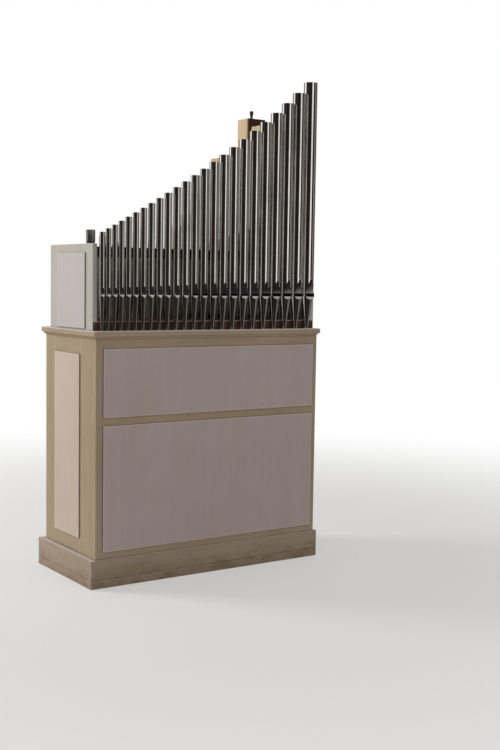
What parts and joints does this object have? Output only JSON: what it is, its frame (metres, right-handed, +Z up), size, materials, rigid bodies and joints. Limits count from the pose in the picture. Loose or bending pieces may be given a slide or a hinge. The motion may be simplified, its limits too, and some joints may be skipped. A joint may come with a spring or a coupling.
{
  "type": "pipe organ",
  "caption": "Free-standing church choir organ: a painted panelled base case carries a wind chest and a row of polished tin flue pipes that rises from left to right.",
  "frame": {"origin": "middle of the footprint, on the floor", "axes": "+Z up, +X to the right and +Y to the back as seen by someone who faces the front pipes"},
  "size_m": [1.456, 0.6846, 2.709],
  "materials": {
    "frame_paint": "satin paint",
    "panel_paint": "satin paint",
    "plinth_paint": "satin paint, scuffed",
    "toe_board_stain": "stained",
    "chest_wood": "bare",
    "rail_stain": "dark stain",
    "polished_tin": "polished",
    "pipe_metal": "dull",
    "pine": "bare",
    "dark_hardwood": "oiled"
  },
  "bodies": {
    "root": {"plinth_front_and_back": "plinth_paint", "plinth_ends": "plinth_paint", "corner_posts": "frame_paint", "front_rails": "frame_paint", "back_rails": "frame_paint", "side_stiles": "frame_paint", "side_rails": "frame_paint", "front_lower_panel": "panel_paint", "front_upper_panel": "panel_paint", "back_lower_panel": "panel_paint", "back_upper_panel": "panel_paint", "left_panel": "panel_paint", "right_panel": "panel_paint", "cornice": "frame_paint", "toe_board": "toe_board_stain", "wind_chest": "chest_wood", "upper_side_stiles": "frame_paint", "upper_side_rails": "frame_paint", "upper_side_panels": "panel_paint", "upper_back_stiles": "frame_paint", "upper_back_rails": "frame_paint", "upper_back_panels": "panel_paint", "pipe_rail": "rail_stain", "front_pipe_c": "polished_tin", "front_pipe_c_sharp": "polished_tin", "front_pipe_d": "polished_tin", "front_pipe_d_sharp": "polished_tin", "front_pipe_e": "polished_tin", "front_pipe_f": "polished_tin", "front_pipe_f_sharp": "polished_tin", "front_pipe_g": "polished_tin", "front_pipe_g_sharp": "polished_tin", "front_pipe_a": "polished_tin", "front_pipe_a_sharp": "polished_tin", "front_pipe_b": "polished_tin", "treble_front_pipes": "polished_tin", "inner_metal_pipes": "pipe_metal", "capped_metal_pipes": "pipe_metal", "metal_pipe_caps": "pipe_metal", "wooden_pipes_back_row": "pine", "wooden_pipes_front_row": "pine", "wooden_pipe_feet": "dark_hardwood", "stopper_handles": "dark_hardwood"}
  },
  "joints": []
}
